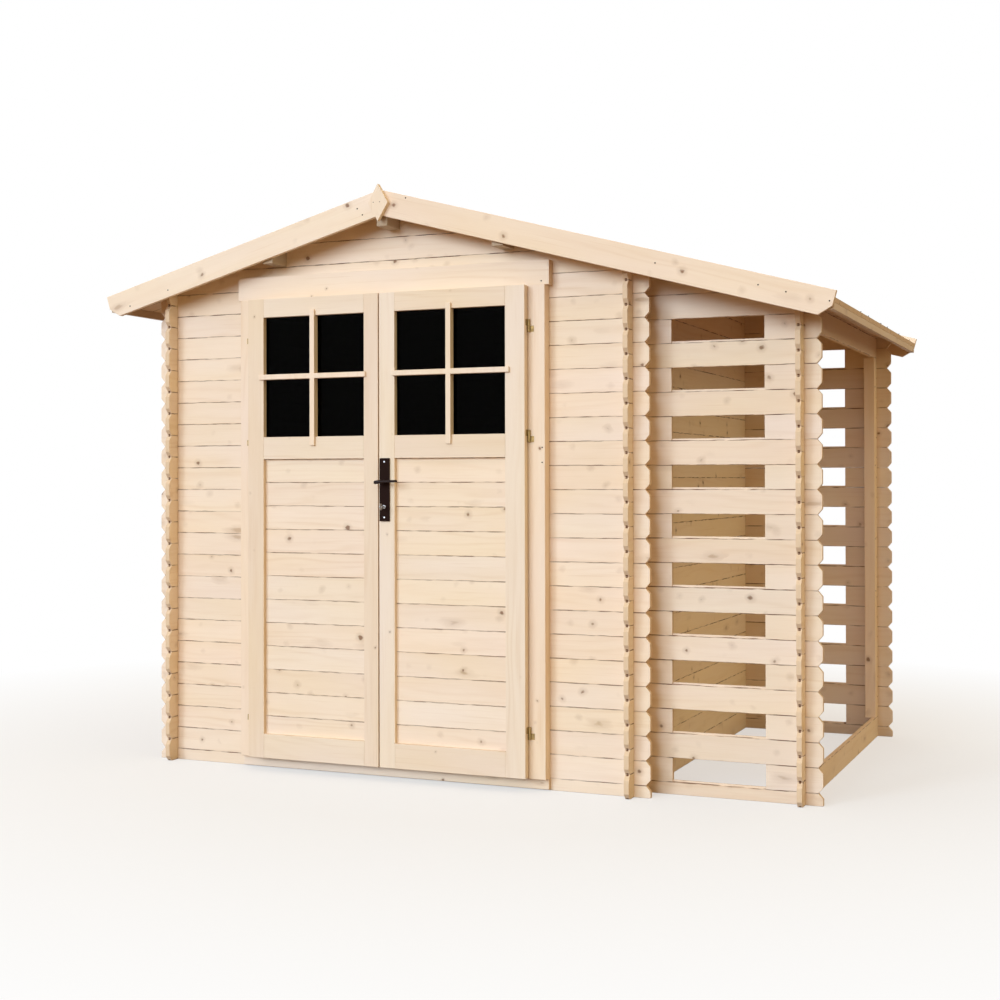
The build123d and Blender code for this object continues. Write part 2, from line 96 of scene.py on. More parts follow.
def make_camera():
    data = bpy.data.cameras.new("camera")
    data.sensor_width = SENSOR
    data.lens = SENSOR * FOCAL_PIXELS / PICTURE
    data.shift_x = (PICTURE / 2 - CENTRE_PIXEL[0]) / PICTURE
    data.shift_y = (CENTRE_PIXEL[1] - PICTURE / 2) / PICTURE
    camera = bpy.data.objects.new("camera", data)
    turn = Matrix.Rotation(math.radians(CAMERA_YAW), 4, "Z")
    tilt = Matrix.Rotation(math.radians(90 + CAMERA_PITCH), 4, "X")
    roll = Matrix.Rotation(math.radians(CAMERA_ROLL), 4, "Z")
    camera.matrix_world = Matrix.Translation(CAMERA_PLACE) @ turn @ tilt @ roll
    bpy.context.scene.collection.objects.link(camera)
    bpy.context.scene.camera = camera


# Node helpers

class Tree:
    """A short way to write a material's nodes."""

    def __init__(self, tree):
        self.tree = tree
        tree.nodes.clear()

    def node(self, kind, inputs=None, **settings):
        made = self.tree.nodes.new(kind)
        for name, value in settings.items():
            setattr(made, name, value)
        for name, value in (inputs or {}).items():
            self.put(made.inputs[name], value)
        return made

    def put(self, socket, value):
        if isinstance(value, bpy.types.NodeSocket):
            self.tree.links.new(value, socket)
        elif isinstance(value, tuple) and len(value) == 3 and socket.type == "RGBA":
            socket.default_value = (*value, 1.0)
        else:
            socket.default_value = value

    def math(self, operation, *values):
        made = self.tree.nodes.new("ShaderNodeMath")
        made.operation = operation
        for socket, value in zip(made.inputs, values):
            self.put(socket, value)
        return made.outputs[0]

    def add(self, a, b):
        return self.math("ADD", a, b)

    def times(self, a, b):
        return self.math("MULTIPLY", a, b)

    def vector(self, x, y, z):
        return self.node("ShaderNodeCombineXYZ", {"X": x, "Y": y, "Z": z}).outputs[0]

    def length(self, vector):
        return self.node("ShaderNodeVectorMath", {0: vector}, operation="LENGTH").outputs["Value"]

    def wave(self, phase):
        """A sine between 0 and 1."""
        return self.add(self.times(self.math("SINE", phase), 0.5), 0.5)

    def noise(self, place, scale=1.0, detail=2.0, roughness=0.5):
        made = self.node("ShaderNodeTexNoise", {"Vector": place, "Scale": scale, "Detail": detail,
                                                "Roughness": roughness})
        return made.outputs["Fac"]

    def grain_noise(self, place, rates, detail):
        """Noise on three coordinates, each at its own rate. A rate of 0 leaves that coordinate out."""
        parts = [self.times(part, rate) if rate else 0.0 for part, rate in zip(place, rates)]
        return self.noise(self.vector(*parts), 1.0, detail)

    def span(self, value, low, high, out_low=0.0, out_high=1.0):
        """Map low..high to out_low..out_high, clamped."""
        inputs = {"Value": value, "From Min": low, "From Max": high, "To Min": out_low, "To Max": out_high}
        return self.node("ShaderNodeMapRange", inputs).outputs[0]

    def mix(self, factor, a, b):
        made = self.node("ShaderNodeMix", data_type="RGBA")
        self.put(made.inputs["Factor"], factor)
        self.put(made.inputs["A"], a)
        self.put(made.inputs["B"], b)
        return made.outputs["Result"]

    def mix_shaders(self, factor, a, b):
        made = self.node("ShaderNodeMixShader", {0: factor})
        self.tree.links.new(a.outputs[0], made.inputs[1])
        self.tree.links.new(b.outputs[0], made.inputs[2])
        return made


def new_material(name):
    material = bpy.data.materials.new(name)
    material.use_nodes = True
    return material, Tree(material.node_tree)


def finish_material(t, shader):
    output = t.node("ShaderNodeOutputMaterial")
    t.tree.links.new(shader.outputs[0], output.inputs["Surface"])


# Timber: pale planed pine with growth lines, knots, fibres and end grain

# Noise in the wood: its rates along the grain, across it and into the board, and its detail
LINE_SWAY = ((1.3, 9.0, 9.0), 2.0)
LINE_FADE = ((0.9, 17.0, 0.0), 1.0)
FIBRE = ((14.0, 620.0, 620.0), 3.0)
CLOUD = ((2.2, 16.0, 10.0), 3.0)
STREAK = ((2.6, 150.0, 0.0), 2.0)
PATCH = ((1.6, 5.0, 0.0), 1.0)
KNOT_SWAY = ((9.0, 30.0, 0.0), 2.0)
SEAM_BREAKS = ((15.0, 7.3, 0.0), 1.0)

# Marks that darken the wood: the part of the noise that shows, and its share
FADE_RANGE = (0.42, 0.68)
LINE_SHARE = 0.30
CLOUD_MARK = (0.35, 0.75, 0.22)
FIBRE_MARK = (0.4, 0.75, 0.14)
STREAK_MARK = (0.60, 0.74, 0.30)

# Growth lines: phase from their sway, from the way across the board and from the knots they bend round
SWAY_PHASE = 34.0
ACROSS_PHASE = 190.0
KNOT_PHASE = 5.0
LINE_SHARPNESS = 2.2

# Knots: cells to a metre along and across the grain, the share of cells left clear, and the largest size
PIN_KNOTS = (13.0, 14.0, 0.42, 0.135)
BROAD_KNOTS = (4.4, 12.0, 0.50, 0.13)
KNOT_CELLS_DEEP = 6.0
KNOT_DRIFT = 0.35

# A knot's outline, and where it and the ring round it fade out, as shares of the largest size
RAGGED_RATE = 7.0
RAGGED = 0.8
KNOT_REACH = 0.4
KNOT_ONSET = 0.15
KNOT_EDGE = (-0.3, 0.15)
HALO_EDGE = (-0.2, 1.5)

# How strongly knots and rings colour the wood
BROAD_HALO_SHARE = 0.36
BROAD_SHARE = 0.62
PIN_HALO_SHARE = 0.42
PIN_SHARE = 0.85

# Boards differ: how far each one's pattern is moved, and how much its shade varies
SEED_STEP = 0.37
RUN_SPREAD = 23.0
SIDE_SPREAD = 7.0
VALUE_SPREAD = 0.05
SATURATION_SPREAD = 0.10
HUE_SPREAD = 0.005
PATCH_RANGE = (0.3, 0.7)
PATCH_SATURATION = (0.88, 1.02)
PATCH_HUE = (0.494, 0.500)

# End grain
END_FACING = (0.55, 0.8)
RING_CENTRE_SPREAD = 0.05
RING_CENTRE = (0.02, 0.03)
RING_REPEAT = 0.09
RING_RATE = 1500.0
RING_NOISE = (60.0, 3.0)
RING_SHARE = 0.42

# Seams between the boards, and the painted shade in the mouths of the grooves at the log ends
SEAM_SHADE = 2.5 * MM
SEAM_CORE = 0.35
SEAM_UPRIGHT = (0.75, 0.9)
SEAM_BREAK_RANGE = (0.42, 0.56)
SEAM_BREAK_SHARES = (0.08, 1.0)
MOUTH_SHADE_HEIGHT = (4 * MM, 6 * MM)
MOUTH_SHADE_WIDTH = (3.5 * MM, 4.5 * MM)
MOUTH_SHADE_FACING = (0.3, 0.5)

# Relief and gloss
FIBRE_RELIEF = 0.5
LINE_RELIEF = 0.25
KNOT_RELIEF = 0.6
WOOD_BUMP = {"Strength": 0.25, "Distance": 0.6 * MM}
WOOD_GLOSS_RANGE = (0.3, 0.8)
WOOD_ROUGHNESS = (0.60, 0.76)
WOOD_IOR = 1.42
WOOD_SPECULAR = 0.30


def board_knots(t, inside, kind, knots):
    """Knots in some of the cells of a stretched net: the knot itself and a soft ring round it."""
    run, side, depth = inside
    cells_along, cells_across, clear, largest = kind
    largest *= knots
    sway = t.times(t.grain_noise(inside, *KNOT_SWAY), KNOT_DRIFT)
    net = t.vector(t.add(t.times(run, cells_along), sway), t.times(side, cells_across),
                   t.times(depth, KNOT_CELLS_DEEP))
    cells = t.node("ShaderNodeTexVoronoi", {"Vector": net, "Scale": 1.0, "Randomness": 1.0})
    pick = t.node("ShaderNodeSeparateColor", {"Color": cells.outputs["Color"]}).outputs
    size = t.span(pick[0], clear, 1.0, 0.0, largest)
    ragged = t.times(t.noise(net, RAGGED_RATE, 2.0), largest * RAGGED)
    away = t.math("SUBTRACT", t.add(cells.outputs["Distance"], ragged), t.add(size, largest * KNOT_REACH))
    present = t.span(size, 0.0, largest * KNOT_ONSET)
    shapes = []
    for inner, outer in (KNOT_EDGE, HALO_EDGE):
        shapes.append(t.times(t.span(away, largest * inner, largest * outer, 1.0, 0.0), present))
    return shapes


def growth_lines(t, inside, halo):
    """Growth lines that sway along the grain and bend round the knots."""
    sway = t.grain_noise(inside, *LINE_SWAY)
    bent = t.add(t.times(inside[1], ACROSS_PHASE), t.times(halo, KNOT_PHASE))
    phase = t.add(t.times(sway, SWAY_PHASE), bent)
    return t.math("POWER", t.wave(phase), LINE_SHARPNESS)


def end_grain(t, across, depth, place, own_shift, tone_and_shade):
    """Rings round a heart that lies a little outside the board."""
    heart, heart_depth = RING_CENTRE
    centre = t.add(t.times(own_shift, RING_CENTRE_SPREAD), heart)
    far = t.vector(t.add(t.math("PINGPONG", across, RING_REPEAT), centre), t.add(depth, heart_depth), 0.0)
    rings = t.wave(t.times(t.length(far), RING_RATE))
    ring_mix = t.times(t.add(rings, t.noise(place, *RING_NOISE)), RING_SHARE)
    # End grain is darkened by the same overall brightness, painted shade included
    return t.mix(ring_mix, tuple(c * tone_and_shade for c in END_WOOD), tuple(c * tone_and_shade for c in END_RING))


def timber(name, grain, stack, pitch=0.0, shift=0.0, tilt=0.0, seed=0.0, tone_and_shade=1.0, knots=1.0, middle=None):
    """grain and stack are axes: boards run along one and lie side by side along the other, every pitch.
    Where middle is given, it is the middle of the logs, and their grooves end there, with painted shade as
    dark spots in their mouths."""
    material, t = new_material(name)
    place = t.node("ShaderNodeTexCoord").outputs["Object"]
    facing = t.node("ShaderNodeTexCoord").outputs["Normal"]
    if tilt:
        rotation = (0.0, tilt, 0.0)
        place = t.node("ShaderNodeMapping", {"Vector": place, "Rotation": rotation}).outputs[0]
        facing = t.node("ShaderNodeMapping", {"Vector": facing, "Rotation": rotation}).outputs[0]
    normal = t.node("ShaderNodeSeparateXYZ", {"Vector": facing}).outputs
    thick = ({"X", "Y", "Z"} - {grain, stack}).pop()
    axes = t.node("ShaderNodeSeparateXYZ", {"Vector": place}).outputs
    along, across, depth = axes[grain], axes[stack], axes[thick]
    index, edge = 0.0, None
    if pitch:
        count = t.math("DIVIDE", t.math("SUBTRACT", across, shift), pitch)
        index = t.math("FLOOR", count)
        edge = t.times(t.math("PINGPONG", count, 0.5), pitch)

    # Each board has its own part of the pattern
    chance = t.node("ShaderNodeTexWhiteNoise", {"W": t.add(index, seed + SEED_STEP)}, noise_dimensions="1D")
    own = chance.outputs["Value"]
    own_shift, own_value, own_saturation = t.node(
        "ShaderNodeSeparateColor", {"Color": chance.outputs["Color"]}).outputs
    run = t.add(along, t.times(own, RUN_SPREAD))
    side = t.add(across, t.times(own_shift, SIDE_SPREAD))
    inside = (run, side, depth)

    # Small dark knots and larger pale ones, growth lines, clouds, fibres and streaks
    pin, pin_halo = board_knots(t, inside, PIN_KNOTS, knots)
    broad, broad_halo = board_knots(t, inside, BROAD_KNOTS, knots)
    lines = growth_lines(t, inside, broad_halo)
    fade = t.span(t.grain_noise(inside, *LINE_FADE), *FADE_RANGE)
    fibre = t.grain_noise(inside, *FIBRE)
    cloud = t.grain_noise(inside, *CLOUD)
    streak = t.grain_noise(inside, *STREAK)
    dark = t.times(t.times(lines, fade), LINE_SHARE)
    for mark, (low, high, share) in ((cloud, CLOUD_MARK), (fibre, FIBRE_MARK), (streak, STREAK_MARK)):
        dark = t.add(dark, t.times(t.span(mark, low, high), share))
    colour = t.mix(dark, LIGHT_WOOD, DARK_WOOD)
    for mark, share, stain in ((broad_halo, BROAD_HALO_SHARE, SOFT_KNOT), (broad, BROAD_SHARE, SOFT_KNOT),
                               (pin_halo, PIN_HALO_SHARE, SOFT_KNOT), (pin, PIN_SHARE, KNOT)):
        colour = t.mix(t.times(mark, share), colour, stain)

    # Each board has its own shade, and it changes a little along the board
    patch = t.grain_noise(inside, *PATCH)
    # Overall brightness of the material: the timber's own tone, and painted shade where a call lowers it for
    # parts in shade
    value = t.add(t.times(own_value, VALUE_SPREAD), tone_and_shade - VALUE_SPREAD / 2)
    saturation = t.add(t.times(own_saturation, SATURATION_SPREAD),
                       t.span(patch, *PATCH_RANGE, *PATCH_SATURATION))
    hue = t.add(t.times(own, HUE_SPREAD), t.span(patch, *PATCH_RANGE, *PATCH_HUE))
    colour = t.node("ShaderNodeHueSaturation", {"Color": colour, "Saturation": saturation, "Value": value,
                                                "Hue": hue}).outputs[0]

    end_face = t.span(t.math("ABSOLUTE", normal[grain]), *END_FACING)
    colour = t.mix(end_face, colour, end_grain(t, across, depth, place, own_shift, tone_and_shade))

    # Broken dark lines where two boards meet
    if edge is not None:
        breaks = t.grain_noise((along, index, 0.0), *SEAM_BREAKS)
        broken = t.span(breaks, *SEAM_BREAK_RANGE, *SEAM_BREAK_SHARES)
        near = t.span(edge, SEAM_SHADE * SEAM_CORE, SEAM_SHADE, 1.0, 0.0)
        near = t.times(near, t.span(t.math("ABSOLUTE", normal[stack]), *SEAM_UPRIGHT, 1.0, 0.0))
        colour = t.mix(t.times(near, broken), colour, SEAM)
    # Painted shade: dark spots where the grooves open at the log ends
    if middle is not None:
        off = t.math("ABSOLUTE", t.math("SUBTRACT", depth, middle))
        mouth_shade = t.times(t.span(edge, *MOUTH_SHADE_HEIGHT, 1.0, 0.0), t.span(off, *MOUTH_SHADE_WIDTH, 1.0, 0.0))
        mouth_shade = t.times(mouth_shade, t.span(t.math("ABSOLUTE", normal[grain]), *MOUTH_SHADE_FACING))
        colour = t.mix(mouth_shade, colour, SEAM)

    relief = t.add(t.times(fibre, FIBRE_RELIEF),
                   t.add(t.times(lines, LINE_RELIEF), t.times(broad, KNOT_RELIEF)))
    bump = t.node("ShaderNodeBump", {"Height": relief, **WOOD_BUMP})
    shader = t.node("ShaderNodeBsdfPrincipled", {
        "Base Color": colour, "Normal": bump.outputs[0],
        "Roughness": t.span(fibre, *WOOD_GLOSS_RANGE, *WOOD_ROUGHNESS)})
    shader.inputs["IOR"].default_value = WOOD_IOR
    shader.inputs["Specular IOR Level"].default_value = WOOD_SPECULAR
    finish_material(t, shader)
    return material


def dress(material, *names):
    for name in names:
        data = nodes[name].data
        data.materials.clear()
        data.materials.append(material)


def soften(names, width, segments=1):
    """Planed edges on CAD boards: their faces are joined again and their corners are eased."""
    for name in names:
        weld = nodes[name].modifiers.new("join", "WELD")
        weld.merge_threshold = WELD_GAP
        bevel = nodes[name].modifiers.new("ease", "BEVEL")
        bevel.width = width
        bevel.segments = segments
        bevel.limit_method = "ANGLE"
        bevel.angle_limit = EASED_ANGLE
        bevel.use_clamp_overlap = True
        split = nodes[name].modifiers.new("flat", "EDGE_SPLIT")
        split.split_angle = FLAT_ANGLE


# Timber of the walls, the roof, the floor and the door

def dress_walls():
    cross = {"grain": "X", "stack": "Z", "pitch": COURSE, "shift": -COURSE / 2}
    along = {"grain": "Y", "stack": "Z", "pitch": COURSE, "shift": 0.0}
    dress(timber("front_logs", seed=1.0, **cross), "front_wall_left", "front_ground_log", "front_gable")
    dress(timber("front_logs_right", seed=40.0, **cross), "front_wall_right")
    # Lower tones on the back walls and on the log store's slats, gable and blocks: painted shade inside the
    # store and under its overhang
    dress(timber("back_logs", seed=80.0, tone_and_shade=0.92, **cross), "back_wall", "back_gable")
    dress(timber("slats", seed=120.0, tone_and_shade=0.95, **cross), "log_store_slats", "log_store_gable")
    dress(timber("blocks", seed=160.0, tone_and_shade=0.95, **cross), "log_store_blocks")
    dress(timber("back_blocks", seed=180.0, tone_and_shade=0.92, **cross), "log_store_back_blocks")
    dress(timber("left_logs", seed=200.0, middle=LEFT_WALL_X, **along), "left_wall")
    dress(timber("partition_logs", seed=240.0, middle=PARTITION_X, **along), "partition_wall")
    dress(timber("stub_logs", seed=280.0, middle=STORE_SIDE_X, **along), "front_corner_stubs",
          "back_corner_stubs", "log_store_sill", "log_store_header")
    dress(timber("jamb_wood", "Z", "X", seed=300.0), "log_store_jambs")
    walls = ("front_wall_left", "front_wall_right", "front_ground_log", "front_gable", "back_wall",
             "back_gable", "log_store_slats", "log_store_gable", "log_store_blocks",
             "log_store_back_blocks", "left_wall", "partition_wall", "front_corner_stubs",
             "back_corner_stubs", "log_store_sill", "log_store_header", "log_store_jambs")
    soften(walls, LOG_EASE)


def dress_roof():
    low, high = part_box("left_roof_boards")
    roof_pitch = (high.y - low.y) / ROOF_BOARDS
    for side, tilt, seed in (("left", ROOF_SLOPE, 10.0), ("right", -ROOF_SLOPE, 50.0)):
        boards = timber(f"{side}_roof_wood", "X", "Y", roof_pitch, low.y, tilt=tilt, seed=seed, tone_and_shade=0.97)
        dress(boards, f"{side}_roof_boards")
        for end, more in (("front", 3.0), ("back", 5.0)):
            barge = timber(f"{end}_{side}_barge_wood", "X", "Z", tilt=tilt, seed=seed + more)
            dress(barge, f"{end}_{side}_bargeboard")
        # The eave strips are darker all over: painted shade of the shaded eaves
        dress(timber(f"{side}_eave_wood", "Y", "Z", seed=seed + 7.0, tone_and_shade=0.76), f"{side}_eave_strips")
    dress(timber("finial_wood", "Z", "X", seed=71.0, knots=0.1), "front_finial", "back_finial")
    # The purlins are much darker: painted shade under the roof overhang
    dress(timber("purlin_wood", "Y", "Z", seed=75.0, tone_and_shade=0.62), "ridge_purlin", "side_purlins")
    soften(("left_roof_boards", "right_roof_boards"), BOARD_EASE)
    trim = [f"{end}_{side}_bargeboard" for end in ("front", "back") for side in ("left", "right")]
    soften((*trim, "left_eave_strips", "right_eave_strips", "front_finial", "back_finial",
            "ridge_purlin", "side_purlins"), TRIM_EASE)


def dress_floor():
    low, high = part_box("floor_boards")
    pitch = (high.y - low.y) / round((high.y - low.y) / FLOOR_BOARD)
    dress(timber("floor_wood", "X", "Y", pitch, low.y, seed=90.0, tone_and_shade=0.95), "floor_boards")
    dress(timber("bearer_wood", "Y", "X", seed=95.0, tone_and_shade=0.9), "floor_bearers")
    soften(("floor_boards", "floor_bearers"), BOARD_EASE)


def dress_door():
    upright = timber("post_wood", "Z", "X", seed=101.0, knots=0.5)
    level = timber("lintel_wood", "X", "Z", seed=103.0, knots=0.6)
    dress(upright, "left_door_post", "right_door_post")
    dress(level, "door_head", "door_lintel", "door_sill")
    for side, seed in (("left", 105.0), ("right", 115.0)):
        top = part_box(f"{side}_leaf_panel")[1].z
        first = top - PANEL_LAP - PANEL_BOARD
        panel = timber(f"{side}_panel_wood", "X", "Z", PANEL_BOARD, first, seed=seed)
        dress(panel, f"{side}_leaf_panel")
        dress(timber(f"{side}_bar_wood", "Z", "X", seed=seed + 3.0, knots=0.1), f"{side}_glazing_bars")
    soften(("left_door_post", "right_door_post", "door_head", "door_lintel", "door_sill",
            "left_leaf_panel", "right_leaf_panel", "left_glazing_bars", "right_glazing_bars"), TRIM_EASE)


# Metal and glass

ZINC = (0.40, 0.26, 0.10)
SATIN_STEEL = (0.60, 0.60, 0.61)
LOCK_STEEL = (0.42, 0.39, 0.37)
WORN_SHADE = 0.45
WORN_RANGE = (0.4, 0.7)
METAL_NOISE = (90.0, 4.0, 0.6)
METAL_BUMP = {"Strength": 0.15, "Distance": 0.4 * MM}
METAL_ROUGHER = 0.15
BLACK_LOW = (0.012, 0.0045, 0.003)
BLACK_HIGH = (0.022, 0.009, 0.006)
BLACK_NOISE = (700.0, 2.0)
BLACK_BUMP = {"Strength": 0.2, "Distance": 0.3 * MM}
BLACK_ROUGHER = 0.12
# The panes' near-black tint is painted shade of the room behind them
GLASS_SHADE_TINT = (0.03, 0.03, 0.03, 1.0)
GLASS_IOR = 1.1
GLASS_SPECULAR = 0.06
GLASS_NOISE = (3.0, 1.0)
GLASS_BUMP = {"Strength": 0.05, "Distance": 1.0 * MM}
GLASS_ROUGHNESS = (0.02, 0.05)
NOISE_RANGE = (0.3, 0.7)


def metal(name, colour, roughness, patch):
    """Bare or plated metal with duller patches."""
    material, t = new_material(name)
    place = t.node("ShaderNodeTexCoord").outputs["Object"]
    spots = t.noise(place, *METAL_NOISE)
    tint = t.mix(t.times(t.span(spots, *WORN_RANGE), patch), colour, tuple(c * WORN_SHADE for c in colour))
    bump = t.node("ShaderNodeBump", {"Height": spots, **METAL_BUMP})
    shader = t.node("ShaderNodeBsdfPrincipled", {
        "Base Color": tint, "Normal": bump.outputs[0],
        "Roughness": t.span(spots, *NOISE_RANGE, roughness, roughness + METAL_ROUGHER)})
    shader.inputs["Metallic"].default_value = 1.0
    finish_material(t, shader)
    return material


def black_coat(name, shine, roughness):
    """Black lacquer with a fine grain."""
    material, t = new_material(name)
    place = t.node("ShaderNodeTexCoord").outputs["Object"]
    grainy = t.noise(place, *BLACK_NOISE)
    bump = t.node("ShaderNodeBump", {"Height": grainy, **BLACK_BUMP})
    shader = t.node("ShaderNodeBsdfPrincipled", {
        "Base Color": t.mix(t.span(grainy, *NOISE_RANGE), BLACK_LOW, BLACK_HIGH), "Normal": bump.outputs[0],
        "Roughness": t.span(grainy, *NOISE_RANGE, roughness, roughness + BLACK_ROUGHER)})
    shader.inputs["Specular IOR Level"].default_value = shine
    finish_material(t, shader)
    return material


def dark_glass(name):
    """Panes tinted almost black, as painted shade of the dark room behind them."""
    material, t = new_material(name)
    place = t.node("ShaderNodeTexCoord").outputs["Object"]
    ripple = t.noise(place, *GLASS_NOISE)
    bump = t.node("ShaderNodeBump", {"Height": ripple, **GLASS_BUMP})
    shader = t.node("ShaderNodeBsdfPrincipled", {
        "Roughness": t.span(ripple, *NOISE_RANGE, *GLASS_ROUGHNESS), "Normal": bump.outputs[0]})
    shader.inputs["Base Color"].default_value = GLASS_SHADE_TINT
    shader.inputs["Transmission Weight"].default_value = 1.0
    shader.inputs["IOR"].default_value = GLASS_IOR
    shader.inputs["Specular IOR Level"].default_value = GLASS_SPECULAR
    finish_material(t, shader)
    return material


# Meshes

def add_mesh(name, mesh, material, body, smooth=False):
    bmesh.ops.recalc_face_normals(mesh, faces=mesh.faces[:])
    if smooth:
        for face in mesh.faces:
            face.smooth = True
        for edge in mesh.edges:
            edge.smooth = edge.is_manifold and edge.calc_face_angle(0.0) < SMOOTH_ANGLE
    data = bpy.data.meshes.new(name)
    mesh.to_mesh(data)
    mesh.free()
    data.materials.append(material)
    piece = bpy.data.objects.new(name, data)
    bpy.context.scene.collection.objects.link(piece)
    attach(piece, body)
    return piece


def add_box(mesh, low, high, ease):
    """A board between two corners, its edges eased."""
    low, high = Vector(low), Vector(high)
    made = bmesh.ops.create_cube(mesh, size=1.0)
    bmesh.ops.scale(mesh, vec=high - low, verts=made["verts"])
    bmesh.ops.translate(mesh, vec=(low + high) / 2, verts=made["verts"])
    edges = {edge for vertex in made["verts"] for edge in vertex.link_edges}
    bmesh.ops.bevel(mesh, geom=list(edges), offset=ease, segments=2, profile=0.5, affect="EDGES")


def skin(mesh, rings, closed=False):
    """Faces between rings of points, capped at both ends or closed into a loop."""
    made = [[mesh.verts.new(point) for point in ring] for ring in rings]
    pairs = list(zip(made, made[1:])) + ([(made[-1], made[0])] if closed else [])
    for near, far in pairs:
        for number in range(len(near)):
            after = (number + 1) % len(near)
            mesh.faces.new((near[number], near[after], far[after], far[number]))
    if not closed:
        mesh.faces.new(made[0])
        mesh.faces.new(made[-1])


def turned(mesh, place, axis, profile, segments, closed=False):
    """A round shape along an axis, from pairs of radius and distance."""
    axis = Vector(axis).normalized()
    side = axis.orthogonal().normalized()
    other = axis.cross(side)
    rings = []
    for radius, distance in profile:
        ring = []
        for step in range(segments):
            angle = math.tau * step / segments
            spoke = math.cos(angle) * side + math.sin(angle) * other
            ring.append(Vector(place) + axis * distance + radius * spoke)
        rings.append(ring)
    skin(mesh, rings, closed)


def in_mm(profile):
    """A profile that is given in millimetres, in metres."""
    return [(radius * MM, distance * MM) for radius, distance in profile]


TO_FRONT = (0, -1, 0)
TO_BACK = (0, 1, 0)
TO_RIGHT = (1, 0, 0)
NAIL_RADIUS = 2.8 * MM
FINIAL_NAIL_RADIUS = 1.8 * MM
NAIL_SIDES = 10

# A nail's crown: shares of its radius, and heights in millimetres
NAIL_CROWN = ((1.0, -1.0), (1.0, 0.4), (0.8, 0.8), (0.3, 0.95))


def nail_heads(name, places, axis, radius=NAIL_RADIUS):
    """Flat-crowned nail heads, a little proud of the timber."""
    mesh = bmesh.new()
    profile = [(radius * share, height * MM) for share, height in NAIL_CROWN]
    for place in places:
        turned(mesh, place, axis, profile, NAIL_SIDES)
    add_mesh(name, mesh, nail_metal, "building", smooth=True)


# A screw's rim, and the two half discs on it that leave a slot between them
SCREW_RIM = ((1.0, 0.0), (1.0, 0.8), (0.9, 1.1))
SCREW_SIDES = 20
SLOT_HALF = 0.14
HALF_DISC = 0.88
HALF_DISC_STEPS = 10
HALF_DISC_LAYERS = ((0.9 * MM, 1.0), (1.7 * MM, 1.0), (2.1 * MM, 0.8))


def screw_head(mesh, place, radius):
    """A slotted screw head that faces the front."""
    x, y, z = place
    turned(mesh, place, TO_FRONT, [(radius * share, height * MM) for share, height in SCREW_RIM], SCREW_SIDES)
    gap = radius * SLOT_HALF
    reach = radius * HALF_DISC
    for side in (-1, 1):
        half = []
        for step in range(HALF_DISC_STEPS + 1):
            angle = math.pi * step / HALF_DISC_STEPS
            half.append((math.cos(angle) * reach, gap + math.sin(angle) * (reach - gap)))
        rings = []
        for depth, scale in HALF_DISC_LAYERS:
            rings.append([(x + across * scale, y - depth, z + side * up * scale) for across, up in half])
        skin(mesh, rings)


def leaf_boards():
    """The stiles and rails of the two leaves, in place of their one-piece frames."""
    for side, seed in (("left", 130.0), ("right", 150.0)):
        low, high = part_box(f"{side}_leaf_frame")
        glass_low, glass_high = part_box(f"{side}_leaf_glass")
        panel_low, panel_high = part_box(f"{side}_leaf_panel")
        inner_left, inner_right = glass_low.x + LEAF_LAP, glass_high.x - LEAF_LAP
        rail_left, rail_right = inner_left + LEAF_JOINT, inner_right - LEAF_JOINT
        upright = timber(f"{side}_stile_wood", "Z", "X", seed=seed, tone_and_shade=0.95, knots=0.5)
        level = timber(f"{side}_rail_wood", "X", "Z", seed=seed + 9.0, tone_and_shade=0.96, knots=0.5)
        boards = (
            ("left_stile", upright, low.x, inner_left, low.z, high.z),
            ("right_stile", upright, inner_right, high.x, low.z, high.z),
            ("top_rail", level, rail_left, rail_right, glass_high.z - LEAF_LAP, high.z),
            ("middle_rail", level, rail_left, rail_right, panel_high.z - LEAF_LAP, glass_low.z + LEAF_LAP),
            ("bottom_rail", level, rail_left, rail_right, low.z, panel_low.z + LEAF_LAP),
        )
        for name, material, x0, x1, z0, z1 in boards:
            mesh = bmesh.new()
            add_box(mesh, (x0, low.y, z0), (x1, high.y, z1), LEAF_EASE)
            piece = add_mesh(f"{side}_leaf_{name}", mesh, material, f"{side}_leaf")
            if name == "left_stile":
                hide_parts(f"{side}_leaf_frame")
        dress(upright, f"{side}_leaf_frame")


# Nails. Each place is the distance to the right and the height.

BARGE_NAILS = ((-1.369, 1.865), (-1.184, 1.921), (-0.321, 2.188), (-0.299, 2.163), (-0.261, 2.222),
               (-0.116, 2.214), (0.856, 1.911), (1.220, 1.815), (1.315, 1.786), (1.461, 1.748))
FINIAL_NAILS = ((-0.243, 2.204), (-0.216, 2.204))
POST_NAILS = ((0.400, 1.268), (0.400, 1.213))
LINTEL_NAILS = ((0.395, 1.884),)

# Heights of the jamb nails, and their way in from the jambs' edges
JAMB_NAILS = (0.652, 0.884, 1.211, 1.561)
JAMB_NAIL_INSET = 30 * MM

# Nails that stand proud at the right eave: their places, lean, inset, and a profile in millimetres
EAVE_NAILS = (-0.427, -0.255, 0.050, 0.221, 0.545, 0.870)
EAVE_NAIL_LEAN = (0.12, 0.1, 1)
EAVE_NAIL_INSET = 9 * MM
EAVE_NAIL = ((1.1, -6.0), (1.1, 4.5), (2.6, 5.0), (2.6, 5.8), (1.5, 6.2))

# Rows of roof nails: their way from the ridge and from the eave, their shares of a board, and their drift
RIDGE_ROW = 14 * MM
EAVE_ROW = 12 * MM
NAIL_SHARES = (0.25, 0.75)
NAIL_DRIFT = 4.0


